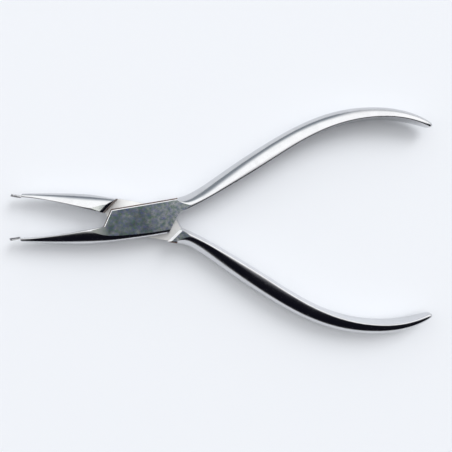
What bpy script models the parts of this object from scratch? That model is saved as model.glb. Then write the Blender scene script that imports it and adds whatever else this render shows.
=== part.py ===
"""Orthodontic utility pliers with slender straight beaks and a lap joint. Metres, +Z up.

Both halves are the same forging: a jaw, a lap plate of half the thickness and a handle on the other side of the
centre line. The back half is the front one turned over about the centre line. An arm is drawn as it lies when the
pliers are closed, with the pivot at the origin, the jaws towards -X, the handles towards +X, and Z = 0 at the middle
of the joint's thickness. It is then opened to the angle at which the pliers lie on the table.
"""

import math

import bmesh
import bpy
import numpy as np
from mathutils import Matrix

# How the pliers lie
LYING_ANGLE = 19.16  # degrees between the two halves' centre lines
JAW_BITE_ANGLE = 0.77  # degrees by which each jaw leans over its centre line, so that the tips meet first
JAW_SET_ANGLE = 1.23  # degrees by which both jaws are set over towards the back half's side

# Joint: two lap plates between slanted faces
JOINT_THICKNESS = 0.0080
PLATE_HALF_WIDTH = 0.00528
LAP_GAP = 0.0002
JAW_FACE_REACH = 0.0130  # from the pivot to the plate's edge at the jaws, along the centre line
JAW_FACE_ANGLE = 56.5
JAW_FACE_GAP = 0.0003
HANDLE_FACE_REACH = 0.01085  # the same at the handles
HANDLE_FACE_ANGLE = 54.0
HANDLE_FACE_GAP = 0.0011
PLATE_CORNER_OFFSET = 0.00065  # the plate's corner at the handle lies this far past that edge
CROTCH_RADIUS = 0.0010
CROTCH_HEIGHT = 0.00082  # from the centre line to the crotch
CROTCH_SLOPE = 0.19
ROLL_WIDTH = 0.00062  # the rolled-over edge of the plate, on its ground face
ROLL_DEPTH = 0.00037
SHOULDER_CHAMFER = 0.00085  # the broken edge of both shoulders, on the ground face
SHOULDER_CHAMFER_DEPTH = 0.00049

# Joint pin, spread into a countersink at both ends and ground flush
PIN_DIAMETER = 0.0036
PIN_HEAD_DIAMETER = 0.0052
PIN_HEAD_DEPTH = 0.0010
PIN_CLEARANCE = 0.00006
PIN_SEGMENTS = 48

# Jaws
JAW_REACH = 0.0438  # from the pivot to the end of the tip
JAW_ROOT_DEPTH = 0.00505  # from the closing line to the outer edge, at the joint
JAW_KNEE_DEPTH = 0.00475
JAW_TIP_DEPTH = 0.0016
JAW_TIP_HEIGHT = 0.00345
JAW_RELIEF = 0.0009  # how hollow the inner faces are between root and tip
JAW_CLEARANCE = 0.00003  # each biting face stays this far off the closing line
JAW_EDGE_ROUND = 0.0003

# Tip: a thin neck and a round boss that carries a serrated pad
NECK_LENGTH = 0.0005
PAD_DIAMETER = 0.0032
PAD_THICKNESS = 0.00032
BOSS_THICKNESS = 0.00040
BRAZE_GAP = 0.00003
PAD_SEGMENTS = 32
GROOVE_PITCH = 0.00046
GROOVE_DEPTH = 0.00011

# Handles
HANDLE_REACH = 0.0962  # from the pivot to the end, along the centre line
HANDLE_SPREAD = 0.02265  # from the centre line to the middle of the handle where it is furthest out
HANDLE_NECK_WIDTH = 0.0041
HANDLE_NECK_HEIGHT = 0.0075
GRIP_WIDTH = 0.0054
GRIP_HEIGHT = 0.0078
HANDLE_END_WIDTH = 0.0028
HANDLE_END_HEIGHT = 0.0062
HANDLE_FLAT = 0.0007  # the part of the width that the half-round back leaves flat, along the inner side
HANDLE_ROUND_LIMIT = 0.0039  # the largest radius of the half-round back
HANDLE_ROUND_SHARE = 0.48  # of the height, on each side of the middle
HANDLE_EDGE_ROUND = 0.0004
HANDLE_ROOT_RISE = 0.0022  # how far the handle's root stands over the joint's faces before it is ground flat

# Fineness of the surfaces
CORNER_STEPS = 5
STEPS_BETWEEN_STATIONS = 3

HALF_THICKNESS = JOINT_THICKNESS / 2
FORGING_MARGIN = 0.0002  # how much thicker the forging is at the joint before it is ground flat
REACH_OF_CUTS = 0.0090  # past the joint's edges on every side


def clear_scene():
    for thing in list(bpy.data.objects):
        bpy.data.objects.remove(thing, do_unlink=True)


def steel(name, colour, roughness):
    material = bpy.data.materials.new(name)
    material.use_nodes = True
    shader = material.node_tree.nodes["Principled BSDF"]
    shader.inputs["Base Color"].default_value = (*colour, 1)
    shader.inputs["Metallic"].default_value = 1
    shader.inputs["Roughness"].default_value = roughness
    return material


def add_object(name, shape):
    mesh = bpy.data.meshes.new(name)
    shape.to_mesh(mesh)
    shape.free()
    body = bpy.data.objects.new(name, mesh)
    bpy.context.scene.collection.objects.link(body)
    return body


def loft(name, rings):
    """One closed body through rings that have the same number of points."""
    shape = bmesh.new()
    loops = []
    for ring in rings:
        corners = [shape.verts.new(point) for point in ring]
        loops.append([shape.edges.new(ends) for ends in zip(corners, corners[1:] + corners[:1])])
    for first, second in zip(loops, loops[1:]):
        bmesh.ops.bridge_loops(shape, edges=first + second)
    for end in (loops[0], loops[-1]):
        bmesh.ops.edgeloop_fill(shape, edges=end)
    bmesh.ops.recalc_face_normals(shape, faces=shape.faces)
    return add_object(name, shape)


def prism(name, outline, bottom, top):
    return loft(name, [[(x, y, z) for x, y in outline] for z in (bottom, top)])


def turned(name, profile, segments):
    """A body turned about Z from pairs of radius and height."""
    angles = [2 * math.pi * step / segments for step in range(segments)]
    return loft(name, [[(r * math.cos(a), r * math.sin(a), z) for a in angles] for r, z in profile])


def combine(body, other, operation):
    """Joins, cuts or trims a body by another one, which is used up."""
    modifier = body.modifiers.new(operation.title(), "BOOLEAN")
    modifier.operation = operation
    modifier.solver = "EXACT"
    modifier.object = other
    graph = bpy.context.evaluated_depsgraph_get()
    result = bpy.data.meshes.new_from_object(body.evaluated_get(graph))
    body.modifiers.clear()
    body.data = result
    bpy.data.objects.remove(other, do_unlink=True)


def smooth_rows(rows, steps):
    """Rows read from a smooth curve that passes through the given rows."""
    rows = np.array(rows, float)
    before = 2 * rows[0] - rows[1]
    after = 2 * rows[-1] - rows[-2]
    padded = np.vstack([before, rows, after])
    found = []
    for p0, p1, p2, p3 in zip(padded, padded[1:], padded[2:], padded[3:]):
        for t in np.arange(steps) / steps:
            bend = (2 * p0 - 5 * p1 + 4 * p2 - p3) * t**2 + (3 * p1 - p0 - 3 * p2 + p3) * t**3
            found.append(p1 + ((p2 - p0) * t + bend) / 2)
    return np.array(found + [rows[-1]])


def half_round_section(width, height, round_across, round_up, edge_round):
    """Pairs (across, up): a straight inner side at 0, and rounded shoulders that fall to the outer side at width."""
    top = height / 2
    corners = (
        (width - round_across, top - round_up, round_across, round_up, 0),
        (edge_round, top - edge_round, edge_round, edge_round, 90),
        (edge_round, edge_round - top, edge_round, edge_round, 180),
        (width - round_across, round_up - top, round_across, round_up, 270),
    )
    points = []
    for across, up, radius_across, radius_up, start in corners:
        for step in range(CORNER_STEPS + 1):
            angle = math.radians(start + 90 * step / CORNER_STEPS)
            points.append((across + radius_across * math.cos(angle), up + radius_up * math.sin(angle)))
    return points


def forged_bar(name, stations, edge_round):
    """A bar along stations of (x, y, width, height, round across, round up). Its outer side is on its left."""
    rows = smooth_rows(stations, STEPS_BETWEEN_STATIONS)
    directions = np.gradient(rows[:, :2], axis=0)
    rings = []
    for row, direction in zip(rows, directions):
        x, y, width, height, across, up = row
        along_x, along_y = direction / np.linalg.norm(direction)
        section = half_round_section(width, height, across, up, edge_round)
        rings.append([(x - along_y * (a - width / 2), y + along_x * (a - width / 2), u) for a, u in section])
    return loft(name, rings)


def corner_arc(before, corner, after, radius, steps=5):
    """The points that round a corner of an outline."""
    before, corner, after = (np.array(point, float) for point in (before, corner, after))
    back = (before - corner) / np.linalg.norm(before - corner)
    ahead = (after - corner) / np.linalg.norm(after - corner)
    half_angle = math.acos(float(np.clip(back @ ahead, -1, 1))) / 2
    centre = corner + (back + ahead) / np.linalg.norm(back + ahead) * radius / math.sin(half_angle)
    start = corner + back * radius / math.tan(half_angle) - centre
    end = corner + ahead * radius / math.tan(half_angle) - centre
    sweep = math.atan2(start[0] * end[1] - start[1] * end[0], start @ end)
    points = []
    for angle in np.linspace(0, sweep, steps + 1):
        turn = np.array([[math.cos(angle), -math.sin(angle)], [math.sin(angle), math.cos(angle)]])
        points.append(tuple(centre + turn @ start))
    return points


def jaw_face_x(y, inset=0.0):
    """Where the plate's edge at the jaws lies, at a height above the centre line."""
    angle = math.radians(JAW_FACE_ANGLE)
    return -JAW_FACE_REACH + y / math.tan(angle) + inset / math.sin(angle)


def handle_face_x(y, outset=0.0):
    """Where the plate's edge at the handles lies, at a height above the centre line."""
    angle = math.radians(HANDLE_FACE_ANGLE)
    return HANDLE_FACE_REACH + y / math.tan(angle) + outset / math.sin(angle)


def jaw_end():
    """The end of the jaw's thick part, where the neck starts."""
    return -(JAW_REACH - PAD_DIAMETER - NECK_LENGTH)


def jaw_stations(rise):
    """From the handle side of the joint, where the bar's round back is the plate's lower edge, to the tip."""
    start = HANDLE_FACE_REACH + PLATE_CORNER_OFFSET
    span = -jaw_end()
    thick = JOINT_THICKNESS + 2 * FORGING_MARGIN
    root, knee, tip = JAW_ROOT_DEPTH, JAW_KNEE_DEPTH, JAW_TIP_DEPTH
    rows = (
        (start, 0, root, thick, 0.0024, 0.0020),
        (start / 2, 0, root, thick, 0.0028, 0.0022),
        (0, 0, root, thick, 0.0032, 0.0024),
        (-span * 0.20, 0, root, thick, 0.0034, 0.0025),
        (-span * 0.30, 0.1, root, thick - 0.0001, 0.0034, 0.0025),
        (-span * 0.364, 0.25, (root + knee) / 2, JOINT_THICKNESS + 0.0001, 0.0033, 0.0024),
        (-span * 0.431, 0.45, knee + 0.0001, JOINT_THICKNESS, 0.0037, 0.0031),
        (-span * 0.481, 0.60, knee, JOINT_THICKNESS - 0.0003, 0.0037, 0.0036),
        (-span * 0.618, 0.85, knee * 0.78 + tip * 0.22, JAW_TIP_HEIGHT + 0.00315, 0.0029, 0.0032),
        (-span * 0.786, 1.00, knee * 0.42 + tip * 0.58, JAW_TIP_HEIGHT + 0.00175, 0.0017, 0.00255),
        (-span * 0.910, 0.75, knee * 0.16 + tip * 0.84, JAW_TIP_HEIGHT + 0.00075, 0.0011, 0.00205),
        (-span, 0.40, tip, JAW_TIP_HEIGHT, 0.00075, 0.00165),
    )
    stations = []
    for x, hollow, depth, height, across, up in rows:
        inner = hollow * JAW_RELIEF + JAW_CLEARANCE
        y = max(-x, 0) * math.tan(rise) - (inner + depth) / 2
        stations.append((x, y, depth - inner, height, across, up))
    return stations


def handle_stations():
    """From inside the joint, out to the grip's widest place and back in to the end."""
    reach, spread = HANDLE_REACH, HANDLE_SPREAD
    thick = JOINT_THICKNESS + 2 * HANDLE_ROOT_RISE
    root = PLATE_HALF_WIDTH - 0.0026
    neck, grip, end = HANDLE_NECK_WIDTH, GRIP_WIDTH, HANDLE_END_WIDTH
    rows = (
        (0.0076, root - 0.0004, 0.0043, thick),
        (0.0096, root - 0.0001, 0.0043, thick),
        (0.0114, root + 0.00035, 0.0045, thick - 0.0006),
        (0.0127, root + 0.0006, 0.0044, JOINT_THICKNESS + 0.0010),
        (0.0140, root + 0.0009, 0.0043, JOINT_THICKNESS + 0.00005),
        (0.0155, root + 0.0012, neck + 0.0001, JOINT_THICKNESS),
        (reach * 0.225, spread * 0.270, neck + 0.0002, HANDLE_NECK_HEIGHT),
        (reach * 0.30, spread * 0.415, grip - 0.0005, HANDLE_NECK_HEIGHT - 0.0001),
        (reach * 0.40, spread * 0.595, grip, GRIP_HEIGHT - 0.0002),
        (reach * 0.51, spread * 0.79, grip - 0.0002, GRIP_HEIGHT),
        (reach * 0.62, spread * 0.94, grip - 0.0006, GRIP_HEIGHT),
        (reach * 0.735, spread * 0.995, grip - 0.0011, GRIP_HEIGHT),
        (reach * 0.85, spread * 0.935, grip - 0.0020, GRIP_HEIGHT - 0.0004),
        (reach * 0.925, spread * 0.815, end, HANDLE_END_HEIGHT),
        (reach * 0.970, spread * 0.695, end - 0.0008, HANDLE_END_HEIGHT - 0.0017),
        (reach * 0.990, spread * 0.630, end - 0.0014, HANDLE_END_HEIGHT - 0.0038),
    )
    stations = []
    for x, y, width, height in rows:
        across = min(width - HANDLE_FLAT, HANDLE_ROUND_LIMIT)
        up = min(height * HANDLE_ROUND_SHARE, HANDLE_ROUND_LIMIT)
        stations.append((x, y, width, height, across, up))
    return stations


def plate_outline(inset):
    """The plate's outline with its two free edges drawn in."""
    top, low = PLATE_HALF_WIDTH - inset, -JAW_ROOT_DEPTH / 3
    right = HANDLE_FACE_REACH + PLATE_CORNER_OFFSET
    return [
        (jaw_face_x(low, inset), low),
        (jaw_face_x(top, inset), top),
        (right, top),
        (right, 0),
        (handle_face_x(low), low),
    ]


def plate(name):
    """The middle of the arm between its slanted faces. The bars of jaw and handle close over its other sides."""
    over = FORGING_MARGIN / 2
    wall, face = HALF_THICKNESS - ROLL_DEPTH, HALF_THICKNESS + over
    drawn_in = ROLL_WIDTH * (1 + over / ROLL_DEPTH)
    levels = ((-face, drawn_in), (-wall, 0), (wall, 0), (face, drawn_in))
    return loft(name, [[(x, y, level) for x, y in plate_outline(inset)] for level, inset in levels])


def crotch_cut(name):
    """Clears the corner between the plate's edge at the handles and the inner side of the handle."""
    low = -REACH_OF_CUTS
    corner = (handle_face_x(CROTCH_HEIGHT), CROTCH_HEIGHT)
    below = (handle_face_x(low), low)
    right = (corner[0] + REACH_OF_CUTS, CROTCH_HEIGHT + REACH_OF_CUTS * CROTCH_SLOPE)
    outline = [below] + corner_arc(below, corner, right, CROTCH_RADIUS) + [right, (right[0], low)]
    return prism(name, outline, -JOINT_THICKNESS, JOINT_THICKNESS)


def lap_cut(name):
    """The half of the joint that the other arm's plate fills, with the broken edges of its two shoulders."""
    high = REACH_OF_CUTS
    steps_out = SHOULDER_CHAMFER / SHOULDER_CHAMFER_DEPTH
    below = HALF_THICKNESS
    levels = (
        (-HALF_THICKNESS - below, SHOULDER_CHAMFER + below * steps_out),
        (-HALF_THICKNESS + SHOULDER_CHAMFER_DEPTH, 0),
        (LAP_GAP / 2, 0),
    )
    rings = []
    for level, chamfer in levels:
        outline = [(jaw_face_x(-y, -JAW_FACE_GAP - chamfer), y) for y in (high, -high)]
        outline += [(handle_face_x(-y, HANDLE_FACE_GAP + chamfer), y) for y in (-high, high)]
        rings.append([(x, y, level) for x, y in outline])
    return loft(name, rings)


def pin_profile(clearance):
    shank, head = PIN_DIAMETER / 2 + clearance, PIN_HEAD_DIAMETER / 2 + clearance
    return [
        (head, -HALF_THICKNESS),
        (shank, PIN_HEAD_DEPTH - HALF_THICKNESS),
        (shank, HALF_THICKNESS - PIN_HEAD_DEPTH),
        (head, HALF_THICKNESS),
    ]


def bore_cut(name):
    """The pin's shape with its clearance, carried on past both faces."""
    slope = (PIN_HEAD_DIAMETER - PIN_DIAMETER) / 2 / PIN_HEAD_DEPTH
    profile = pin_profile(PIN_CLEARANCE)
    past = PIN_HEAD_DEPTH / 2
    wide = profile[0][0] + past * slope
    profile[0] = (wide, -HALF_THICKNESS - past)
    profile[-1] = (wide, HALF_THICKNESS + past)
    return turned(name, profile, PIN_SEGMENTS)


def upright_disc(name, diameter, near, far):
    """A disc on the tip, standing across the jaw, between two distances below the biting face."""
    disc = turned(name, [(diameter / 2, near), (diameter / 2, far)], PAD_SEGMENTS)
    disc.data.transform(Matrix.Translation((-JAW_REACH + PAD_DIAMETER / 2, 0, 0)) @ Matrix.Rotation(math.pi / 2, 4, "X"))
    return disc


def tip_boss(name):
    """The round boss behind the pad, with the neck that joins it to the jaw."""
    near = JAW_CLEARANCE + PAD_THICKNESS + BRAZE_GAP
    far = near + BOSS_THICKNESS
    boss = upright_disc(name, PAD_DIAMETER, near, far)
    skin = BOSS_THICKNESS / 8
    neck_height = PAD_DIAMETER * 0.42
    middle = -JAW_REACH + PAD_DIAMETER / 2
    inside = jaw_end() + NECK_LENGTH
    outline = [(middle, -near - skin), (middle, -far + skin), (inside, -far + skin), (inside, -near - skin)]
    combine(boss, prism("neck", outline, -neck_height, neck_height), "UNION")
    return boss


def groove_cuts(name, turn):
    """Parallel V-grooves across the pad's biting face."""
    count = int(PAD_DIAMETER / 2 / GROOVE_PITCH)
    half_width = GROOVE_PITCH * 0.46
    reach = PAD_DIAMETER
    past = GROOVE_DEPTH / 2
    slope = half_width / GROOVE_DEPTH
    shape = bmesh.new()
    for step in range(-count, count + 1):
        middle = step * GROOVE_PITCH
        wide = half_width + past * slope
        section = [(middle, -GROOVE_DEPTH), (middle + wide, past), (middle - wide, past)]
        ends = [[shape.verts.new((across, up, along)) for across, up in section] for along in (-reach, reach)]
        loops = [[shape.edges.new(pair) for pair in zip(end, end[1:] + end[:1])] for end in ends]
        bmesh.ops.bridge_loops(shape, edges=loops[0] + loops[1])
        for loop in loops:
            bmesh.ops.edgeloop_fill(shape, edges=loop)
    bmesh.ops.recalc_face_normals(shape, faces=shape.faces)
    cuts = add_object(name, shape)
    place = Matrix.Translation((-JAW_REACH + PAD_DIAMETER / 2, -JAW_CLEARANCE, 0))
    cuts.data.transform(place @ Matrix.Rotation(math.radians(turn), 4, "Y"))
    return cuts


def tip_pad(name, rise, material):
    """The serrated round pad, brazed on the boss, with two crossed sets of grooves."""
    pad = upright_disc(name, PAD_DIAMETER, JAW_CLEARANCE, JAW_CLEARANCE + PAD_THICKNESS)
    for turn in (45, -45):
        combine(pad, groove_cuts("grooves", turn), "DIFFERENCE")
    pad.data.transform(Matrix.Rotation(-rise, 4, "Z"))
    return finish(pad, material)


def finish(body, material):
    body.data.materials.clear()
    body.data.materials.append(material)
    body.data.shade_smooth()
    body.data.set_sharp_from_angle(angle=math.radians(28))
    return body


def arm(name, rise, material):
    """One half of the pliers: the forging, ground flat at the joint, with its lap, its bore and its tip boss."""
    body = plate(name)
    combine(body, forged_bar("jaw", jaw_stations(rise), JAW_EDGE_ROUND), "UNION")
    boss = tip_boss("boss")
    boss.data.transform(Matrix.Rotation(-rise, 4, "Z"))
    combine(body, boss, "UNION")
    combine(body, forged_bar("handle", handle_stations(), HANDLE_EDGE_ROUND), "UNION")
    size = JAW_REACH + HANDLE_REACH
    square = [(-size, -size), (size, -size), (size, size), (-size, size)]
    combine(body, prism("ground faces", square, -HALF_THICKNESS, HALF_THICKNESS), "INTERSECT")
    combine(body, crotch_cut("crotch"), "DIFFERENCE")
    combine(body, lap_cut("lap"), "DIFFERENCE")
    combine(body, bore_cut("bore"), "DIFFERENCE")
    return finish(body, material)


def pivot_rivet(name, material):
    return finish(turned(name, pin_profile(0), PIN_SEGMENTS), material)


def half(prefix, side, arm_material, pad_material):
    """An arm with its pad, opened by its share of the angle. Side is 1 for the front half and -1 for the back one."""
    rise = math.radians(JAW_BITE_ANGLE + side * JAW_SET_ANGLE)
    body = arm(prefix + "_arm", rise, arm_material)
    pad = tip_pad(prefix + "_tip_pad", rise, pad_material)
    pad.parent = body
    body.location = (0, 0, HALF_THICKNESS)
    over = math.pi if side < 0 else 0
    body.rotation_euler = (over, 0, math.radians(side * LYING_ANGLE / 2))


def main():
    clear_scene()
    half("front", 1, steel("front_arm_steel", (0.62, 0.62, 0.63), 0.24), steel("front_pad_steel", (0.5, 0.5, 0.5), 0.4))
    half("back", -1, steel("back_arm_steel", (0.60, 0.60, 0.61), 0.24), steel("back_pad_steel", (0.5, 0.5, 0.5), 0.4))
    rivet = pivot_rivet("pivot_rivet", steel("rivet_steel", (0.58, 0.58, 0.59), 0.3))
    rivet.location = (0, 0, HALF_THICKNESS)
    bpy.context.view_layer.update()


main()
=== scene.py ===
"""The finish of the orthodontic pliers: fine forgings in place of the CAD arms, in polished steel."""

import math

import bmesh
import bpy
from mathutils import Matrix, Vector


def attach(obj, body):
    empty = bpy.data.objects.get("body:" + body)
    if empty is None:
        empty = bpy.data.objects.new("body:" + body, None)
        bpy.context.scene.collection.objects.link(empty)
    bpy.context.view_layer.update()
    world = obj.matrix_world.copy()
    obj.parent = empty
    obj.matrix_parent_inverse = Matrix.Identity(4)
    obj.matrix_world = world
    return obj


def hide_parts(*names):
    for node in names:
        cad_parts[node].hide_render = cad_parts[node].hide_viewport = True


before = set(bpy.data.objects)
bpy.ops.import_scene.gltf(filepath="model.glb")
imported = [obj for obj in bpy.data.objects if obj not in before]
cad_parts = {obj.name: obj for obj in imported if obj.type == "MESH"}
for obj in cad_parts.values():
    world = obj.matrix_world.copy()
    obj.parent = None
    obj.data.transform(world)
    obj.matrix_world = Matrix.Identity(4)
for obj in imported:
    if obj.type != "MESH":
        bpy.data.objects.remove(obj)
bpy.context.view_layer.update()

MM = 0.001

# Tolerances: places nearer than TOUCHING are one place, and a level face has at least LEVEL as its normal's Z
TOUCHING = 1e-6
ON_PLANE = 0.01 * MM
LEVEL = 0.999
NEARLY_LEVEL = 0.9
SAME_NORMAL = 0.01

# How the pliers lie, in the shared frame
JOINT_HEIGHT = 8.0 * MM
MIDDLE = JOINT_HEIGHT / 2
LYING_ANGLE = math.radians(19.16)
JAW_BITE_ANGLE = math.radians(0.77)
JAW_SET_ANGLE = math.radians(1.23)

# Joint, drawn on a closed arm that lies on its middle plane, with the pivot at the origin
PLATE_HALF_WIDTH = 5.28 * MM
PLATE_END = 11.5 * MM
LAP_GAP = 0.2 * MM
JAW_FACE_REACH = 13.0 * MM
JAW_FACE_ANGLE = math.radians(56.5)
JAW_FACE_GAP = 0.3 * MM
HANDLE_FACE_REACH = 10.85 * MM
HANDLE_FACE_ANGLE = math.radians(54)
HANDLE_FACE_GAP = 1.1 * MM
CROTCH_HEIGHT = 0.82 * MM
CROTCH_SLOPE = math.atan(0.19)
CROTCH_RADIUS = 1.0 * MM
SHOULDER_CHAMFER = 0.85 * MM
SHOULDER_INSET = 0.3 * MM
SHOULDER_TILT = math.radians(30)

# Where the two shoulders of the lap cross the centre line
JAW_SHOULDER = -JAW_FACE_REACH - JAW_FACE_GAP / math.sin(JAW_FACE_ANGLE)
HANDLE_SHOULDER = HANDLE_FACE_REACH + HANDLE_FACE_GAP / math.sin(HANDLE_FACE_ANGLE)

# Steps of the plate's rolled edge: how far each starts in from the side, and its tilt
EDGE_ROLL = ((0.45 * MM, math.radians(48)), (0.62 * MM, math.radians(20)))

# The plate's stock before its end and faces are cut, and how far the cutters reach
STOCK_REACH = 22 * MM
STOCK_DEPTH = 1.6 * MM
STOCK_OVER = 0.2 * MM
PAST_SIDES = 9 * MM
PAST_ENDS = 30 * MM
PAST_ARM = 120 * MM
CROTCH_START = -5 * MM
CROTCH_END = 24 * MM
CROTCH_DEPTH = 20 * MM
CORNER_SEGMENTS = 8

# Sides of the round pieces
ROUND_SIDES = 96

# Joint pin
PIN_RADIUS = 1.8 * MM
PIN_HEAD_RADIUS = 2.6 * MM
PIN_HEAD_DEPTH = 1.0 * MM
PIN_SEAM = 0.015 * MM
BORE_PAST = 0.5 * MM

# Tips, each with a neck, a round boss and an insert that is brazed to it
JAW_REACH = 43.8 * MM
JAW_CLEARANCE = 0.03 * MM
NECK_LENGTH = 0.5 * MM
NECK_HEIGHT_SHARE = 0.42
NECK_SKIN_SHARE = 1 / 8
PAD_DIAMETER = 3.2 * MM
PAD_THICKNESS = 0.32 * MM
BOSS_THICKNESS = 0.40 * MM
BRAZE_GAP = 0.03 * MM
PAD_RIM = 0.05 * MM
BOSS_RIM = 0.08 * MM
RIM_SEGMENTS = 3
GROOVE_PITCH = 0.46 * MM
GROOVE_DEPTH = 0.11 * MM
GROOVE_REACH_SHARE = 0.6

# Half-round back of the forged bars: its largest size, and its height as a share of its own width and of the
# bar's height. The inner edges have a small rounding.
BACK_LIMIT = 3.9 * MM
BACK_STEEPNESS = 1.35
BACK_HEIGHT_SHARE = 0.48
BACK_SEGMENTS = 8
INNER_ROUND = 0.30 * MM
INNER_SEGMENTS = 2
BAR_SMOOTHING = 2

# Jaw, in mm: x, hollow of the inner side, depth of the outer side, height, width and height of the back
JAW_STATIONS = (
    (19.0, 0.03, 5.20, 8.4, 2.0, 2.0),
    (13.0, 0.03, 5.20, 8.4, 2.0, 2.0),
    (6.0, 0.03, 5.20, 8.4, 2.1, 1.5),
    (0.0, 0.03, 5.20, 8.4, 2.4, 1.5),
    (-8.0, 0.03, 5.20, 8.4, 2.9, 1.6),
    (-12.0, 0.10, 5.16, 8.3, 3.3, 1.7),
    (-14.6, 0.25, 5.08, 8.1, 3.7, 2.1),
    (-17.3, 0.43, 5.07, 8.0, 4.1, 2.6),
    (-19.3, 0.57, 4.99, 7.7, 4.1, 2.9),
    (-24.8, 0.80, 4.30, 6.6, 3.2, 2.5),
    (-31.5, 0.93, 3.15, 5.2, 2.0, 1.8),
    (-36.5, 0.70, 2.27, 4.2, 1.2, 1.3),
    (-39.6, 0.42, 1.62, 3.55, 0.8, 1.1),
    (-40.1, 0.38, 1.55, 3.45, 0.75, 1.05),
)

# Handle, in mm: x, y of the middle, width, height, width of the flat beside the inner side
HANDLE_STATIONS = (
    (7.6, 2.30, 4.3, 8.4, 4.0),
    (9.6, 2.60, 4.3, 8.4, 4.0),
    (11.2, 3.03, 4.5, 8.3, 3.9),
    (12.2, 3.20, 4.5, 8.2, 2.9),
    (13.4, 3.42, 4.4, 8.1, 2.0),
    (14.8, 3.72, 4.25, 8.0, 1.3),
    (17.0, 4.38, 4.2, 7.9, 0.9),
    (21.6, 6.02, 4.5, 7.5, 0.7),
    (28.9, 9.22, 5.25, 7.4, 0.7),
    (38.5, 13.30, 5.75, 7.6, 0.7),
    (49.1, 17.81, 5.35, 7.8, 0.7),
    (59.6, 21.22, 4.95, 7.8, 0.7),
    (70.7, 22.54, 4.3, 7.8, 0.7),
    (81.8, 21.18, 3.4, 7.4, 0.7),
    (89.0, 18.46, 2.8, 6.2, 0.7),
    (93.3, 15.74, 2.0, 4.5, 0.7),
    (95.2, 14.27, 1.4, 2.4, 0.7),
)

# The back of the handle is round, and flatter towards the joint
ROUND_PROFILE = 0.5
FLATTEST_PROFILE = 0.36
FLATTENED_FROM = 48 * MM
FLATTEST_AT = 24 * MM

# Edges that turn by less than this are shaded smooth
ARM_SMOOTH_TURN = math.radians(18)
SMALL_SMOOTH_TURN = math.radians(32)

# Places of the finishes in an arm's list of materials
POLISHED_SLOT = 0
GROUND_SLOT = 1
LAP_SLOT = 2
ROLLED_EDGE = 3


def only(piece):
    """Makes a piece the one that is selected and active."""
    bpy.ops.object.select_all(action="DESELECT")
    piece.select_set(True)
    bpy.context.view_layer.objects.active = piece


def named(name):
    """The primitive that was just added, with its place in its mesh."""
    piece = bpy.context.object
    piece.name = name
    bpy.ops.object.transform_apply(location=True, rotation=True, scale=True)
    return piece


def block(name, low, high):
    """A box between two corners."""
    bpy.ops.object.select_all(action="DESELECT")
    middle = [(a + b) / 2 for a, b in zip(low, high)]
    bpy.ops.mesh.primitive_cube_add(size=1, location=middle, scale=[b - a for a, b in zip(low, high)])
    return named(name)


def post(name, radius, low, high):
    """A round post along Z, between two heights."""
    bpy.ops.object.select_all(action="DESELECT")
    middle = (0, 0, (low + high) / 2)
    length = high - low
    bpy.ops.mesh.primitive_cylinder_add(vertices=ROUND_SIDES, radius=radius, depth=length, location=middle)
    return named(name)


def pick(piece, kind, test):
    """In edit mode, selects the faces, edges or corners of a piece that pass a test."""
    mesh = bmesh.from_edit_mesh(piece.data)
    mesh.normal_update()
    bpy.ops.mesh.select_all(action="DESELECT")
    bpy.ops.mesh.select_mode(type=kind)
    for part in {"FACE": mesh.faces, "EDGE": mesh.edges, "VERT": mesh.verts}[kind]:
        if test(part):
            part.select_set(True)
    bmesh.update_edit_mesh(piece.data)


def turn(angle, centre, axis="Z"):
    """Turns what is selected counter-clockwise. With no window the operator turns the other way."""
    bpy.ops.transform.rotate(value=-angle, orient_axis=axis, center_override=centre)


def slice_off(piece, point, normal):
    """Cuts away what lies beyond a plane and closes the cut."""
    bpy.ops.mesh.select_all(action="SELECT")
    bpy.ops.mesh.bisect(plane_co=point, plane_no=normal, use_fill=True, clear_outer=True)


def carve(piece, other, operation, solver="EXACT"):
    """Joins, cuts or trims a piece by another one, which is used up."""
    only(piece)
    modifier = piece.modifiers.new(operation.title(), "BOOLEAN")
    modifier.operation = operation
    modifier.solver = solver
    modifier.object = other
    bpy.ops.object.modifier_apply(modifier=modifier.name)
    bpy.data.objects.remove(other, do_unlink=True)


def half_round_section(place, angle, width, height, across, up, profile=ROUND_PROFILE):
    """A section across a bar, flat on the inner side, with a rounded back on the outer side."""
    bpy.ops.object.select_all(action="DESELECT")
    bpy.ops.mesh.primitive_plane_add(size=1, rotation=(0, math.pi / 2, 0))
    piece = named("section")
    stretch = up / across
    bpy.ops.object.mode_set(mode="EDIT")
    bpy.ops.mesh.select_all(action="SELECT")
    bpy.ops.transform.resize(value=(1, width * stretch, height), center_override=(0, 0, 0))
    pick(piece, "VERT", lambda v: v.co.y > 0)
    bpy.ops.mesh.bevel(offset=up, segments=BACK_SEGMENTS, profile=profile, affect="VERTICES")
    inner = -width * stretch / 2 + TOUCHING
    pick(piece, "VERT", lambda v: v.co.y < inner)
    bpy.ops.mesh.bevel(offset=INNER_ROUND, segments=INNER_SEGMENTS, affect="VERTICES")
    bpy.ops.mesh.select_all(action="SELECT")
    bpy.ops.transform.resize(value=(1, 1 / stretch, 1), center_override=(0, 0, 0))
    turn(angle, (0, 0, 0))
    bpy.ops.transform.translate(value=place)
    bpy.ops.mesh.delete(type="ONLY_FACE")
    bpy.ops.object.mode_set(mode="OBJECT")
    return piece


def directions(places):
    """The angle of the path at each of its places."""
    before = [places[0]] + places[:-1]
    after = places[1:] + [places[-1]]
    return [math.atan2(b.y - a.y, b.x - a.x) for a, b in zip(before, after)]


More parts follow.
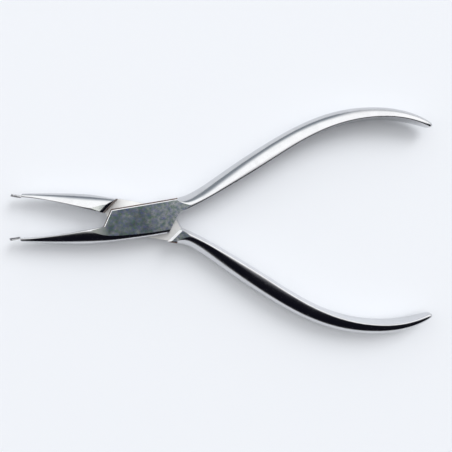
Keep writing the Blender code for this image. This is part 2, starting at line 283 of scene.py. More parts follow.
def forged_bar(name, stations):
    """A bar bridged from section to section and smoothed.

    A station is x, y, width and height, then the back's width and height, and its profile if it isn't round.
    """
    places = [Vector((x, y, 0)) for x, y, *_ in stations]
    sections = []
    for place, angle, station in zip(places, directions(places), stations):
        sections.append(half_round_section(place, angle, *station[2:]))
    bpy.ops.object.select_all(action="DESELECT")
    for part in sections:
        part.select_set(True)
    piece = sections[0]
    bpy.context.view_layer.objects.active = piece
    bpy.ops.object.join()
    piece.name = name
    bpy.ops.object.mode_set(mode="EDIT")
    pick(piece, "EDGE", lambda e: True)
    bpy.ops.mesh.bridge_edge_loops()
    bpy.ops.mesh.select_all(action="SELECT")
    bpy.ops.mesh.fill_holes(sides=0)
    bpy.ops.mesh.normals_make_consistent(inside=False)
    bpy.ops.object.mode_set(mode="OBJECT")
    smooth = piece.modifiers.new("Smooth", "SUBSURF")
    smooth.levels = BAR_SMOOTHING
    smooth.render_levels = BAR_SMOOTHING
    bpy.ops.object.modifier_apply(modifier=smooth.name)
    return piece


def jaw_bar(rise):
    """The jaw, from inside the joint to the neck of its tip."""
    stations = []
    for x, inner, outer, *section in JAW_STATIONS:
        y = max(-x, 0) * math.tan(rise) - (inner + outer) / 2
        stations.append([value * MM for value in (x, y, outer - inner, *section)])
    return forged_bar("jaw_bar", stations)


def handle_bar():
    """The handle, from inside the joint to its rounded end."""
    stations = []
    for sizes in HANDLE_STATIONS:
        x, y, width, height, flat = (value * MM for value in sizes)
        across = min(width - flat, BACK_LIMIT)
        up = min(height * BACK_HEIGHT_SHARE, BACK_LIMIT, across * BACK_STEEPNESS)
        near = min(max((FLATTENED_FROM - x) / (FLATTENED_FROM - FLATTEST_AT), 0), 1)
        profile = ROUND_PROFILE + (FLATTEST_PROFILE - ROUND_PROFILE) * near
        stations.append((x, y, width, height, across, up, profile))
    return forged_bar("handle_bar", stations)


def slanted(reach, angle, side):
    """A point on a slanted face of the joint, and its normal towards -X or +X."""
    return (reach, 0, 0), (side * math.sin(angle), -side * math.cos(angle), 0)


def joint_plate():
    """The lap plate, its slanted end and upper edge rolled over in two steps."""
    thick = MIDDLE + STOCK_OVER
    piece = block("plate", (-STOCK_REACH, -STOCK_DEPTH, -thick), (PLATE_END, PLATE_HALF_WIDTH, thick))
    only(piece)
    bpy.ops.object.mode_set(mode="EDIT")
    point, normal = slanted(-JAW_FACE_REACH, JAW_FACE_ANGLE, -1)
    slice_off(piece, point, normal)
    slanted_end = (Vector(point), Vector(normal))
    upper_side = (Vector((0, PLATE_HALF_WIDTH, 0)), Vector((0, 1, 0)))
    for edge, out in (slanted_end, upper_side):
        for side in (1, -1):
            for inward, tilt in EDGE_ROLL:
                top = edge - out * inward
                top.z = side * MIDDLE
                up = Vector((0, 0, side))
                slice_off(piece, top, up * math.cos(tilt) + out * math.sin(tilt))
    bpy.ops.object.mode_set(mode="OBJECT")
    return piece


def crotch_cutter():
    """Clears the space between the plate's end and the inner side of the handle, with a rounded corner."""
    low = (CROTCH_START, -CROTCH_DEPTH, -PAST_SIDES)
    piece = block("crotch_cutter", low, (CROTCH_END, PAST_SIDES, PAST_SIDES))
    only(piece)
    bpy.ops.object.mode_set(mode="EDIT")
    point, normal = slanted(HANDLE_FACE_REACH, HANDLE_FACE_ANGLE, -1)
    slice_off(piece, point, normal)
    corner = HANDLE_FACE_REACH + CROTCH_HEIGHT / math.tan(HANDLE_FACE_ANGLE)
    slice_off(piece, (corner, CROTCH_HEIGHT, 0), (-math.sin(CROTCH_SLOPE), math.cos(CROTCH_SLOPE), 0))
    at_corner = Vector((corner, CROTCH_HEIGHT))
    pick(piece, "EDGE", lambda e: all((v.co.xy - at_corner).length < ON_PLANE for v in e.verts))
    bpy.ops.mesh.bevel(offset=CROTCH_RADIUS, segments=CORNER_SEGMENTS, affect="EDGES")
    bpy.ops.object.mode_set(mode="OBJECT")
    return piece


def lap_cutter():
    """The half of the joint that the other arm's plate fills."""
    low = (-PAST_ENDS, -PAST_SIDES, -PAST_SIDES)
    piece = block("lap_cutter", low, (PAST_ENDS, PAST_SIDES, LAP_GAP / 2))
    only(piece)
    bpy.ops.object.mode_set(mode="EDIT")
    slice_off(piece, *slanted(JAW_SHOULDER, -JAW_FACE_ANGLE, 1))
    slice_off(piece, *slanted(HANDLE_SHOULDER, math.pi - HANDLE_FACE_ANGLE, 1))
    bpy.ops.object.mode_set(mode="OBJECT")
    return piece


def shoulder_cutter(reach, angle, side):
    """Breaks the edge of a lap shoulder, on the ground face that the shoulder rises to."""
    normal = Vector((side * math.sin(angle), side * math.cos(angle), 0))
    edge = Vector((reach, 0, -MIDDLE))
    low = (reach - PAST_SIDES, -PAST_SIDES, -MIDDLE - PAST_SIDES)
    piece = block("shoulder_cutter", low, (reach + PAST_SIDES, PAST_SIDES, 0))
    only(piece)
    bpy.ops.object.mode_set(mode="EDIT")
    slice_off(piece, edge - normal * SHOULDER_INSET, -normal)
    chamfer = Vector((0, 0, math.cos(SHOULDER_TILT))) + normal * math.sin(SHOULDER_TILT)
    slice_off(piece, edge + normal * SHOULDER_CHAMFER, chamfer)
    bpy.ops.object.mode_set(mode="OBJECT")
    return piece


def pin(name, clearance, past=0.0):
    """The joint pin with its two spread heads, or its bore when it is carried on past both faces."""
    piece = post(name, PIN_RADIUS + clearance, PIN_HEAD_DEPTH - MIDDLE, MIDDLE - PIN_HEAD_DEPTH)
    only(piece)
    slope = (PIN_HEAD_RADIUS - PIN_RADIUS) / PIN_HEAD_DEPTH
    wide = (PIN_HEAD_RADIUS + clearance + past * slope) / (PIN_RADIUS + clearance)
    bpy.ops.object.mode_set(mode="EDIT")
    for side in (1, -1):
        pick(piece, "FACE", lambda f: f.normal.z * side > LEVEL)
        lift = (0, 0, side * (PIN_HEAD_DEPTH + past))
        bpy.ops.mesh.extrude_region_move(TRANSFORM_OT_translate={"value": lift})
        bpy.ops.transform.resize(value=(wide, wide, 1), center_override=(0, 0, 0))
    bpy.ops.object.mode_set(mode="OBJECT")
    return piece


def tip_disc(name, near, far, rim):
    """A disc that stands across the tip, between two distances below the closing line, with rounded rims."""
    piece = post(name, PAD_DIAMETER / 2, near, far)
    only(piece)
    bpy.ops.object.mode_set(mode="EDIT")
    pick(piece, "EDGE", lambda e: abs(e.verts[0].co.z - e.verts[1].co.z) < TOUCHING)
    bpy.ops.mesh.bevel(offset=rim, segments=RIM_SEGMENTS, affect="EDGES")
    bpy.ops.mesh.select_all(action="SELECT")
    turn(math.pi / 2, (0, 0, 0), "X")
    bpy.ops.transform.translate(value=(-JAW_REACH + PAD_DIAMETER / 2, 0, 0))
    bpy.ops.object.mode_set(mode="OBJECT")
    return piece


def groove_cutters(middle, heading):
    """Parallel bars, each on its edge, that cut one set of V grooves across the insert."""
    half = GROOVE_DEPTH / math.sqrt(2)
    reach = Vector((PAD_DIAMETER * GROOVE_REACH_SHARE, half, half))
    each_side = int(PAD_DIAMETER / 2 / GROOVE_PITCH)
    bars = []
    for count in range(-each_side, each_side):
        place = middle + Vector((0, 0, GROOVE_PITCH * (count + 0.5)))
        bar = block("groove", place - reach, place + reach)
        only(bar)
        bpy.ops.object.mode_set(mode="EDIT")
        turn(math.pi / 4, place, "X")
        bpy.ops.object.mode_set(mode="OBJECT")
        bars.append(bar)
    bpy.ops.object.select_all(action="DESELECT")
    for bar in bars:
        bar.select_set(True)
    bpy.ops.object.join()
    bpy.ops.object.mode_set(mode="EDIT")
    bpy.ops.mesh.select_all(action="SELECT")
    turn(heading, middle, "Y")
    bpy.ops.object.mode_set(mode="OBJECT")
    return bpy.context.object


def tip_pad(name):
    """The round insert of a tip, with crossed grooves in its working face."""
    piece = tip_disc(name, JAW_CLEARANCE, JAW_CLEARANCE + PAD_THICKNESS, PAD_RIM)
    middle = Vector((-JAW_REACH + PAD_DIAMETER / 2, -JAW_CLEARANCE, 0))
    for heading in (math.pi / 4, -math.pi / 4):
        carve(piece, groove_cutters(middle, heading), "DIFFERENCE", "MANIFOLD")
    return piece


def tip_boss():
    """The round seat that the insert is brazed to, with the neck that carries it."""
    near = JAW_CLEARANCE + PAD_THICKNESS + BRAZE_GAP
    far = near + BOSS_THICKNESS
    piece = tip_disc("boss", near, far, BOSS_RIM)
    skin = BOSS_THICKNESS * NECK_SKIN_SHARE
    inside = -JAW_REACH + PAD_DIAMETER + 2 * NECK_LENGTH
    half_height = PAD_DIAMETER * NECK_HEIGHT_SHARE
    low = (-JAW_REACH + PAD_DIAMETER / 2, -far + skin, -half_height)
    carve(piece, block("neck", low, (inside, -near - skin, half_height)), "UNION")
    return piece


def lean(piece, rise):
    """Turns the tip's pieces with the jaw."""
    only(piece)
    bpy.ops.object.mode_set(mode="EDIT")
    bpy.ops.mesh.select_all(action="SELECT")
    turn(-rise, (0, 0, 0))
    bpy.ops.object.mode_set(mode="OBJECT")
    return piece


def on_ground_face(corner):
    """Whether a corner of an arm on its middle plane lies on a ground face."""
    return abs(abs(corner.co.z) - MIDDLE) < TOUCHING


def smooth_shading(piece):
    """Smooth shading of an arm, with the ground faces kept flat up to their borders."""
    only(piece)
    bpy.ops.object.mode_set(mode="EDIT")

    def ground(face):
        return abs(face.normal.z) > LEVEL and all(on_ground_face(v) for v in face.verts)

    def border(edge):
        return sum(ground(face) for face in edge.link_faces) == 1

    pick(piece, "EDGE", border)
    bpy.ops.mesh.mark_sharp()
    bpy.ops.object.mode_set(mode="OBJECT")
    bpy.ops.object.shade_smooth_by_angle(angle=ARM_SMOOTH_TURN, keep_sharp_edges=True)


def mark_rolled_edge(piece):
    """Gives the outer step of the plate's rolled edge, and the jaw's lap shoulder, their own slot, whose dark
    brown colour is painted shade.
    """
    tilt = EDGE_ROLL[0][1]
    steps = [Vector(slanted(0, -JAW_FACE_ANGLE, -1)[1])]
    for out in (Vector(slanted(0, JAW_FACE_ANGLE, -1)[1]), Vector((0, 1, 0))):
        for side in (1, -1):
            steps.append(out * math.sin(tilt) + Vector((0, 0, side)) * math.cos(tilt))
    while len(piece.data.materials) <= ROLLED_EDGE:
        piece.data.materials.append(None)
    for face in piece.data.polygons:
        on_step = any((face.normal - step).length < SAME_NORMAL for step in steps)
        face.material_index = ROLLED_EDGE if on_step and face.center.x < PLATE_END else POLISHED_SLOT


def fine_arm(name, rise):
    """One forging on its middle plane, as the closed front half: jaw below the centre line, handle above."""
    piece = joint_plate()
    piece.name = name
    carve(piece, jaw_bar(rise), "UNION")
    carve(piece, lean(tip_boss(), rise), "UNION")
    carve(piece, handle_bar(), "UNION")
    between = block("ground_faces", (-PAST_ARM, -PAST_ARM, -MIDDLE), (PAST_ARM, PAST_ARM, MIDDLE))
    carve(piece, between, "INTERSECT")
    carve(piece, crotch_cutter(), "DIFFERENCE")
    carve(piece, lap_cutter(), "DIFFERENCE")
    carve(piece, shoulder_cutter(JAW_SHOULDER, JAW_FACE_ANGLE, -1), "DIFFERENCE")
    carve(piece, shoulder_cutter(HANDLE_SHOULDER, HANDLE_FACE_ANGLE, 1), "DIFFERENCE")
    carve(piece, pin("bore", PIN_SEAM, past=BORE_PAST), "DIFFERENCE")
    smooth_shading(piece)
    mark_rolled_edge(piece)
    return piece


def lay(piece, side):
    """Turns the back half over, opens the arm to its angle and lifts it to the joint's middle height."""
    only(piece)
    over = Matrix.Rotation(math.pi if side < 0 else 0, 4, "X")
    opened = Matrix.Rotation(side * LYING_ANGLE / 2, 4, "Z")
    piece.matrix_world = Matrix.Translation((0, 0, MIDDLE)) @ opened @ over
    bpy.ops.object.transform_apply(location=True, rotation=True, scale=True)
    return piece


def shader_group(name, inputs, outputs):
    """An empty shader group with its sockets, and its two ends."""
    group = bpy.data.node_groups.new(name, "ShaderNodeTree")
    for label, kind, value in inputs:
        socket = group.interface.new_socket(label, in_out="INPUT", socket_type="NodeSocket" + kind)
        if value is not None:
            socket.default_value = value
    for label, kind in outputs:
        group.interface.new_socket(label, in_out="OUTPUT", socket_type="NodeSocket" + kind)
    return group, group.nodes.new("NodeGroupInput"), group.nodes.new("NodeGroupOutput")


def wire(tree, start, end):
    """Links an output to an input."""
    tree.links.new(start, end)


def noise(tree, vector, scale, detail, roughness=0.5):
    """A Noise node. Its scale is a number or a socket."""
    node = tree.nodes.new("ShaderNodeTexNoise")
    node.inputs["Detail"].default_value = detail
    node.inputs["Roughness"].default_value = roughness
    if isinstance(scale, (int, float)):
        node.inputs["Scale"].default_value = scale
    else:
        wire(tree, scale, node.inputs["Scale"])
    wire(tree, vector, node.inputs["Vector"])
    return node


def remap(tree, value, low, high, to_low=0, to_high=1):
    """Stretches a value from one range to another one and keeps it inside."""
    node = tree.nodes.new("ShaderNodeMapRange")
    for label, number in (("From Min", low), ("From Max", high), ("To Min", to_low), ("To Max", to_high)):
        node.inputs[label].default_value = number
    wire(tree, value, node.inputs["Value"])
    return node.outputs["Result"]


def calculate(tree, operation, first, second):
    """A Math node between two values, each of them a socket or a number."""
    node = tree.nodes.new("ShaderNodeMath")
    node.operation = operation
    for slot, value in zip(node.inputs, (first, second)):
        if isinstance(value, (int, float)):
            slot.default_value = value
        else:
            wire(tree, value, slot)
    return node.outputs[0]


def blend_colours(tree, mask, first, second):
    """A mix of two colours, each of them a socket or three numbers."""
    node = tree.nodes.new("ShaderNodeMix")
    node.data_type = "RGBA"
    wire(tree, mask, node.inputs["Factor"])
    for label, colour in (("A", first), ("B", second)):
        slot = next(s for s in node.inputs if s.name == label and s.type == "RGBA")
        if isinstance(colour, tuple):
            slot.default_value = (*colour, 1)
        else:
            wire(tree, colour, slot)
    return next(s for s in node.outputs if s.type == "RGBA")


# Wheel lines: how far the pattern is drawn out along the arm, and the noise values that show as lines
LINE_STRETCH = (0.025, 1, 1)
LINE_DETAIL = 3
LINE_FROM = 0.55
LINE_FULL = 0.70
FINE_WHEEL = 9000.0
COARSE_WHEEL = 6000.0

# Smudges, and the two sets of scratches as tilt and scale
SMUDGE_SCALE = 180.0
SMUDGE_DETAIL = 4
SMUDGE_DISTORTION = 0.8
SMUDGE_FROM = 0.35
SMUDGE_FULL = 0.70
SCRATCH_SETS = ((0.5, 420.0), (-0.9, 300.0))
SCRATCH_STRETCH = (0.06, 1, 1)
SCRATCH_WIDTH = 0.02


def grinding_lines():
    """Fine lines left by the wheel, which run along X of the vector that goes in."""
    group, start, end = shader_group(
        "grinding_lines",
        [("Vector", "Vector", None), ("Fineness", "Float", FINE_WHEEL)],
        [("Height", "Float"), ("Mask", "Float")],
    )
    stretch = group.nodes.new("ShaderNodeVectorMath")
    stretch.operation = "MULTIPLY"
    stretch.inputs[1].default_value = LINE_STRETCH
    wire(group, start.outputs["Vector"], stretch.inputs[0])
    fine = noise(group, stretch.outputs[0], start.outputs["Fineness"], LINE_DETAIL)
    wire(group, fine.outputs["Fac"], end.inputs["Height"])
    wire(group, remap(group, fine.outputs["Fac"], LINE_FROM, LINE_FULL), end.inputs["Mask"])
    return group


def handling_marks():
    """Cloudy smudges and a few thin scratches that use leaves on steel."""
    group, start, end = shader_group(
        "handling_marks",
        [("Vector", "Vector", None), ("Scale", "Float", SMUDGE_SCALE)],
        [("Smudge", "Float"), ("Scratch", "Float")],
    )
    cloud = noise(group, start.outputs["Vector"], start.outputs["Scale"], SMUDGE_DETAIL)
    cloud.inputs["Distortion"].default_value = SMUDGE_DISTORTION
    wire(group, remap(group, cloud.outputs["Fac"], SMUDGE_FROM, SMUDGE_FULL), end.inputs["Smudge"])
    scratch = None
    for tilt, scale in SCRATCH_SETS:
        turned = group.nodes.new("ShaderNodeMapping")
        turned.inputs["Rotation"].default_value = (0, 0, tilt)
        turned.inputs["Scale"].default_value = SCRATCH_STRETCH
        wire(group, start.outputs["Vector"], turned.inputs["Vector"])
        lines = group.nodes.new("ShaderNodeTexVoronoi")
        lines.feature = "DISTANCE_TO_EDGE"
        lines.inputs["Scale"].default_value = scale
        wire(group, turned.outputs[0], lines.inputs["Vector"])
        thin = remap(group, lines.outputs["Distance"], 0, SCRATCH_WIDTH, 1, 0)
        scratch = thin if scratch is None else calculate(group, "MAXIMUM", scratch, thin)
    wire(group, scratch, end.inputs["Scratch"])
    return group


# Ground face: its palest and darkest colours, its two tints, the scale and depth of its patches
GROUND_PALE = (0.50, 0.52, 0.54)
GROUND_DARK = (0.09, 0.10, 0.11)
BLUE_TINT = (0.10, 0.12, 0.27)
GREEN_TINT = (0.08, 0.16, 0.08)
TINT_FULLEST = 0.8
TINT_DETAIL = 6
TINT_ROUGHNESS = 0.62
BLUE_SCALE = 900
GREEN_SCALE = 950
GREEN_SHIFT = (0.31, 0.17, 0.05)
CLOUD_SCALE = 420
CLOUD_DETAIL = 4
CLOUD_FAINTEST = 0.55

# Along X: where the painted shade on the ground face starts to fade towards the handle, how faint it gets,
# and where the face turns plain on the jaw
PAINTED_SHADE_FULL_UP_TO = 0.0
PAINTED_SHADE_FAINTEST_AT = 9 * MM
PAINTED_SHADE_FAINTEST_SHARE = 0.35
PLAIN_FROM = -10.5 * MM
PLAIN_AT = -14.5 * MM


def mottling():
    """The ground face: dark and faintly tinted in patches at the joint, with a painted shade that keeps the
    patches darkest towards the jaw end, plain on the jaw's flat.
    """
    group, start, end = shader_group(
        "mottling",
        [("Vector", "Vector", None), ("Plain", "Color", (*GROUND_PALE, 1))],
        [("Color", "Color")],
    )
    vector = start.outputs["Vector"]
    place = group.nodes.new("ShaderNodeSeparateXYZ")
    wire(group, vector, place.inputs[0])
    shifted = group.nodes.new("ShaderNodeMapping")
    shifted.inputs["Location"].default_value = GREEN_SHIFT
    wire(group, vector, shifted.inputs["Vector"])
    blue = noise(group, vector, BLUE_SCALE, TINT_DETAIL, TINT_ROUGHNESS)
    blue = remap(group, blue.outputs["Fac"], low=0.40, high=0.68, to_high=TINT_FULLEST)
    green = noise(group, shifted.outputs[0], GREEN_SCALE, TINT_DETAIL, TINT_ROUGHNESS)
    green = remap(group, green.outputs["Fac"], low=0.42, high=0.70, to_high=TINT_FULLEST)
    cloud = noise(group, vector, CLOUD_SCALE, CLOUD_DETAIL)
    cloud = remap(group, cloud.outputs["Fac"], low=0.35, high=0.65, to_low=CLOUD_FAINTEST)
    # Painted shade: the dark patches are full on the jaw side of the pivot and fade along X towards the
    # handle
    painted_shade_along_x = remap(group, place.outputs["X"], PAINTED_SHADE_FULL_UP_TO, PAINTED_SHADE_FAINTEST_AT, to_low=1, to_high=PAINTED_SHADE_FAINTEST_SHARE)
    dark_patches_and_shade = calculate(group, "MULTIPLY", cloud, painted_shade_along_x)
    colour = blend_colours(group, dark_patches_and_shade, GROUND_PALE, GROUND_DARK)
    colour = blend_colours(group, blue, colour, BLUE_TINT)
    colour = blend_colours(group, green, colour, GREEN_TINT)
    plain = remap(group, place.outputs["X"], PLAIN_FROM, PLAIN_AT)
    colour = blend_colours(group, plain, colour, start.outputs["Plain"])
    wire(group, colour, end.inputs["Color"])
    return group


def place_group(tree, group, vector, **values):
    """Puts a group in a material, on a vector and with its own values."""
    node = tree.nodes.new("ShaderNodeGroup")
    node.node_tree = group
    wire(tree, vector, node.inputs["Vector"])
    for label, value in values.items():
        node.inputs[label].default_value = value
    return node


# Steel: what the marks do to its roughness, colour and relief
LINE_WEAR = 0.6
SMOOTHEST_SHARE = 0.8
ROUGHEST_SHARE = 1.35
SMUDGE_DIMMING = 0.93
SCRATCH_DEPTH = 0.5
WAVE_SCALE = 110
WAVE_DETAIL = 1


def steel(
    name, angle, colour, roughness, line_height, fineness=FINE_WHEEL, waves=0.0, metallic=1.0, mottled=False
):
    """Stainless steel with wheel lines along the arm, smudges and scratches.

    Waves are the depth of a slight unevenness. A mottled steel is so at the joint, and has its colour
    on the jaw's flat.
    """
    material = bpy.data.materials.new(name)
    material.use_nodes = True
    tree = material.node_tree
    shader = tree.nodes["Principled BSDF"]
    shader.inputs["Metallic"].default_value = metallic
    coordinates = tree.nodes.new("ShaderNodeTexCoord")
    along = tree.nodes.new("ShaderNodeMapping")
    along.inputs["Rotation"].default_value = (0, 0, -angle)
    wire(tree, coordinates.outputs["Object"], along.inputs["Vector"])
    lines = place_group(tree, GROUPS["lines"], along.outputs[0], Fineness=fineness)
    marks = place_group(tree, GROUPS["marks"], along.outputs[0])
    line_wear = calculate(tree, "MULTIPLY", lines.outputs["Mask"], LINE_WEAR)
    worn = calculate(tree, "ADD", marks.outputs["Smudge"], line_wear)
    smoothest = roughness * SMOOTHEST_SHARE
    roughest = roughness * ROUGHEST_SHARE
    wire(tree, remap(tree, worn, 0, 1 + LINE_WEAR, smoothest, roughest), shader.inputs["Roughness"])
    if mottled:
        patches = place_group(tree, GROUPS["mottling"], coordinates.outputs["Object"], Plain=(*colour, 1))
        tint = patches.outputs["Color"]
    else:
        dimmer = tuple(value * SMUDGE_DIMMING for value in colour)
        tint = blend_colours(tree, marks.outputs["Smudge"], colour, dimmer)
    wire(tree, tint, shader.inputs["Base Color"])
    sunk = calculate(tree, "MULTIPLY", marks.outputs["Scratch"], SCRATCH_DEPTH)
    height = calculate(tree, "SUBTRACT", lines.outputs["Height"], sunk)
    fine = tree.nodes.new("ShaderNodeBump")
    fine.inputs["Strength"].default_value = 1
    fine.inputs["Distance"].default_value = line_height
    wire(tree, height, fine.inputs["Height"])
    if waves:
        soft = tree.nodes.new("ShaderNodeBump")
        soft.inputs["Distance"].default_value = waves
        uneven = noise(tree, along.outputs[0], WAVE_SCALE, WAVE_DETAIL)
        wire(tree, uneven.outputs["Fac"], soft.inputs["Height"])
        wire(tree, soft.outputs["Normal"], fine.inputs["Normal"])
    wire(tree, fine.outputs["Normal"], shader.inputs["Normal"])
    return material


# The studio. Its stops are shares of the turn from the +Y horizon over the top to the -Y horizon.
SKY_STRENGTH = 1.65
BACKDROP = (0.9, 0.92, 0.95)
WHITE_BOX = (0.9, 0.9, 0.9)
DARK_SIDE = (0.004, 0.004, 0.007)

# Bands that the skies share: dim at the +Y horizon, the white box's edge overhead, and the -Y horizon
DIM_HORIZON = (
    (0.00, (0.22, 0.24, 0.26)),
    (0.07, (0.16, 0.18, 0.20)),
    (0.13, (0.24, 0.26, 0.29)),
    (0.19, (0.56, 0.58, 0.60)),
    (0.25, (0.86, 0.87, 0.87)),
)
BOX_EDGE = (
    (0.475, WHITE_BOX),
    (0.51, (0.42, 0.42, 0.43)),
    (0.54, (0.07, 0.07, 0.08)),
    (0.58, DARK_SIDE),
)
FAR_HORIZON = (
    (0.93, DARK_SIDE),
    (1.00, (0.1, 0.1, 0.1)),
)

# The skies that a direction to the right, the middle and the left looks into
SKY_RIGHT = (
    (0.00, (0.32, 0.33, 0.34)),
    (0.08, (0.58, 0.59, 0.60)),
    (0.17, (0.85, 0.85, 0.85)),
    (0.24, WHITE_BOX),
    *BOX_EDGE,
    *FAR_HORIZON,
)
SKY_MIDDLE = (*DIM_HORIZON, *BOX_EDGE, *FAR_HORIZON)
SKY_LEFT = (
    *DIM_HORIZON,
    (0.455, WHITE_BOX),
    (0.50, (0.72, 0.72, 0.72)),
    (0.54, (0.45, 0.45, 0.45)),
    (0.60, DARK_SIDE),
    *FAR_HORIZON,
)

# Where the three skies and the dark end wall give way to one another, by the X of a direction
RIGHT_FROM = 0.0
RIGHT_FULL = 0.2
LEFT_FROM = -0.22
LEFT_FULL = -0.30
END_FROM = -0.80
END_FULL = -0.92

# What lights the floor: the fill, over the same turn, and a soft lamp
FILL_LIGHT = (
    (0.00, (0.42, 0.42, 0.43)),
    (0.15, (0.60, 0.60, 0.60)),
    (0.30, (0.64, 0.64, 0.64)),
    (0.50, (0.66, 0.66, 0.66)),
    (0.58, (0.44, 0.44, 0.44)),
    (0.68, (0.20, 0.20, 0.20)),
    (0.85, (0.10, 0.10, 0.10)),
    (1.00, (0.08, 0.08, 0.08)),
)
KEY_STRENGTH = 1.25
KEY_SOFTNESS = math.radians(30)
KEY_FROM = Vector((0.62, 0.75, 0.80))


def ramp(tree, value, stops):
    """A Color Ramp with a colour at each of its stops, which run from 0 to 1 as its own two do."""
    node = tree.nodes.new("ShaderNodeValToRGB")
    bands = node.color_ramp.elements
    bands[0].color = (*stops[0][1], 1)
    bands[1].color = (*stops[-1][1], 1)
    for place, colour in stops[1:-1]:
        bands.new(place).color = (*colour, 1)
    wire(tree, value, node.inputs[0])
    return node.outputs["Color"]


def studio():
    """For the steel, a white box over the +Y side and a dark -Y side. For the floor, a soft fill."""
    world = bpy.context.scene.world or bpy.data.worlds.new("studio")
    bpy.context.scene.world = world
    world.use_nodes = True
    tree = world.node_tree
    tree.nodes.clear()
    way = tree.nodes.new("ShaderNodeTexCoord")
    split = tree.nodes.new("ShaderNodeSeparateXYZ")
    wire(tree, way.outputs["Generated"], split.inputs[0])
    turn_over = calculate(tree, "ARCTAN2", split.outputs["Z"], split.outputs["Y"])
    turn_over = calculate(tree, "DIVIDE", turn_over, math.pi)
    rightward = remap(tree, split.outputs["X"], RIGHT_FROM, RIGHT_FULL)
    leftward = remap(tree, split.outputs["X"], LEFT_FROM, LEFT_FULL)
    end_wall = remap(tree, split.outputs["X"], END_FROM, END_FULL)
    sky = blend_colours(tree, rightward, ramp(tree, turn_over, SKY_MIDDLE), ramp(tree, turn_over, SKY_RIGHT))
    sky = blend_colours(tree, leftward, sky, ramp(tree, turn_over, SKY_LEFT))
    sky = blend_colours(tree, end_wall, sky, DARK_SIDE)
    rays = tree.nodes.new("ShaderNodeLightPath")
    sky = blend_colours(tree, rays.outputs["Is Diffuse Ray"], sky, ramp(tree, turn_over, FILL_LIGHT))
    backdrop = tuple(value / SKY_STRENGTH for value in BACKDROP)
    sky = blend_colours(tree, rays.outputs["Is Camera Ray"], sky, backdrop)
    glow = tree.nodes.new("ShaderNodeBackground")
    glow.inputs["Strength"].default_value = SKY_STRENGTH
    wire(tree, sky, glow.inputs["Color"])
    out = tree.nodes.new("ShaderNodeOutputWorld")
    wire(tree, glow.outputs[0], out.inputs["Surface"])


def key_light():
    """The soft main light on the floor, from the upper right. The steel mirrors the studio instead of it."""
    light = bpy.data.lights.new("key_light", "SUN")
    light.energy = KEY_STRENGTH
    light.angle = KEY_SOFTNESS
    lamp = bpy.data.objects.new("key_light", light)
    bpy.context.scene.collection.objects.link(lamp)
    lamp.rotation_euler = KEY_FROM.to_track_quat("Z", "Y").to_euler()
    lamp.visible_glossy = False


# The floor, its size in metres
FLOOR_SIZE = 4
FLOOR_COLOUR = (0.86, 0.885, 0.93, 1)
FLOOR_ROUGHNESS = 0.6
FLOOR_GLOSS = 0.2


def floor():
    """The pale surface that the pliers lie on."""
    bpy.ops.object.select_all(action="DESELECT")
    bpy.ops.mesh.primitive_plane_add(size=FLOOR_SIZE, location=(0, 0, 0))
    ground = named("floor")
    material = bpy.data.materials.new("pale_floor")
    material.use_nodes = True
    shader = material.node_tree.nodes["Principled BSDF"]
    shader.inputs["Base Color"].default_value = FLOOR_COLOUR
    shader.inputs["Roughness"].default_value = FLOOR_ROUGHNESS
    shader.inputs["Specular IOR Level"].default_value = FLOOR_GLOSS
    ground.data.materials.append(material)


def camera():
    """Looks straight down from the photograph's place, a little to the +Y side of the pliers' middle."""
    focal_pixels = 480
    frame_pixels = 452
    sensor_width = 36
    frame_middle = (25.7 * MM, -1.62 * MM)
    aside = 10 * MM
    height = 157.6 * MM
    nearest = 10 * MM
    view = bpy.data.objects.new("camera", bpy.data.cameras.new("camera"))
    bpy.context.scene.collection.objects.link(view)
    view.location = (frame_middle[0], frame_middle[1] + aside, height)
    view.data.shift_y = -focal_pixels * aside / (height - JOINT_HEIGHT) / frame_pixels
    view.data.sensor_width = sensor_width
    view.data.lens = sensor_width * focal_pixels / frame_pixels
    view.data.clip_start = nearest
    bpy.context.scene.camera = view


def is_ground(face, mesh):
    """A face on one of the two planes that the finished joint is ground to."""
    heights = [abs(mesh.vertices[corner].co.z - MIDDLE) for corner in face.vertices]
    return abs(face.normal.z) > LEVEL and all(abs(height - MIDDLE) < ON_PLANE for height in heights)


def is_lap(face):
    """A face of the lap floor, at the middle height."""
    return abs(face.normal.z) > NEARLY_LEVEL and abs(face.center.z - MIDDLE) < LAP_GAP


def finish(piece, materials):
    """Gives a piece its polished, ground, lap and edge finishes, in that order. The lap finish carries
    painted light and the edge finish painted shade.
    """
    mesh = piece.data
    rolled = {face.index for face in mesh.polygons if face.material_index == ROLLED_EDGE}
    mesh.materials.clear()
    for material in materials:
        mesh.materials.append(material)
    for face in mesh.polygons:
        if face.index in rolled:
            face.material_index = ROLLED_EDGE
        elif len(materials) > GROUND_SLOT and is_ground(face, mesh):
            face.material_index = GROUND_SLOT
        elif len(materials) > LAP_SLOT and is_lap(face):
            face.material_index = LAP_SLOT
        else:
            face.material_index = POLISHED_SLOT


def install(piece, body, node):
    """Puts a finished piece on its body, in place of its node of the CAD."""
    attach(piece, body)
    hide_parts(node)


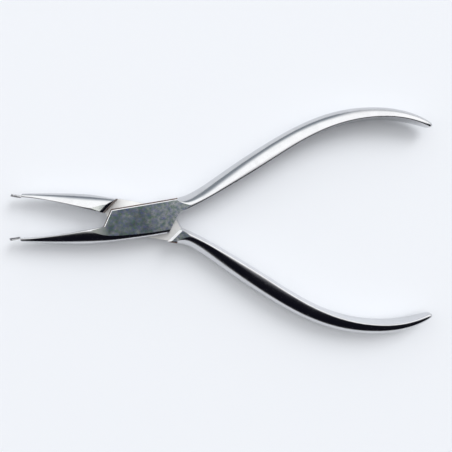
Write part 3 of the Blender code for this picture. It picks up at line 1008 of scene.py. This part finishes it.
camera()
studio()
key_light()
floor()
GROUPS = {"lines": grinding_lines(), "marks": handling_marks(), "mottling": mottling()}

# Colours of the steel
POLISHED = (0.66, 0.665, 0.68)
# The lap floor's near-white colour is partly its satin finish and partly painted light, which lifts the shade
# in its recess
LAP_FLOOR_SATIN_AND_PAINTED_LIGHT = (0.95, 0.95, 0.94)
# The dark brown edge colour is painted shade along the rolled edge's outer step and the jaw's lap shoulder
PAINTED_DARK_EDGE = (0.15, 0.095, 0.08)
# The tip insert's darker grey is a painted dark reflection at the tips
TIP_PAINTED_DARK_REFLECTION = (0.30, 0.30, 0.32)
# The two jaw flats are one ground finish: the front is painted darker as painted shade and the back paler as
# painted light
JAW_FLAT_LIT_AND_SHADED = {"front": (0.40, 0.42, 0.40), "back": (0.78, 0.81, 0.78)}

for side, prefix, body in ((1, "front", "front_half"), (-1, "back", "back_half")):
    angle = side * LYING_ANGLE / 2
    rise = JAW_BITE_ANGLE + side * JAW_SET_ANGLE
    polished = steel(
        prefix + "_polished", angle, POLISHED, roughness=0.14, line_height=0.0025 * MM, waves=0.05 * MM
    )
    ground = steel(
        prefix + "_ground", angle, JAW_FLAT_LIT_AND_SHADED[prefix], roughness=0.3, line_height=0.003 * MM, mottled=True
    )
    lap = steel(
        prefix + "_lap_floor", angle, LAP_FLOOR_SATIN_AND_PAINTED_LIGHT, roughness=0.5, line_height=0.006 * MM,
        fineness=COARSE_WHEEL, metallic=0.4,
    )
    # This edge material paints shade along the rolled edge and the lap shoulder
    edge = steel(
        prefix + "_painted_shade_edge", angle, PAINTED_DARK_EDGE, roughness=0.4, line_height=0.003 * MM, metallic=0.8
    )
    tip = steel(prefix + "_tip_steel", angle, TIP_PAINTED_DARK_REFLECTION, roughness=0.3, line_height=0.003 * MM)
    arm = lay(fine_arm(prefix + "_forging", rise), side)
    finish(arm, (polished, ground, lap, edge))
    install(arm, body, prefix + "_arm")
    pad = lay(lean(tip_pad(prefix + "_serrated_tip"), rise), side)
    bpy.ops.object.shade_smooth_by_angle(angle=SMALL_SMOOTH_TURN)
    finish(pad, (tip,))
    install(pad, body, prefix + "_tip_pad")

rivet = lay(pin("joint_pin", 0), -1)
bpy.ops.object.shade_smooth_by_angle(angle=SMALL_SMOOTH_TURN)
finish(rivet, (
    steel("pin_side", 0, POLISHED, roughness=0.3, line_height=0.003 * MM),
    steel("pin_ground", LYING_ANGLE / 2, GROUND_PALE, roughness=0.3, line_height=0.004 * MM, mottled=True),
))
install(rivet, "back_half", "pivot_rivet")

bpy.context.scene.view_settings.view_transform = "Standard"
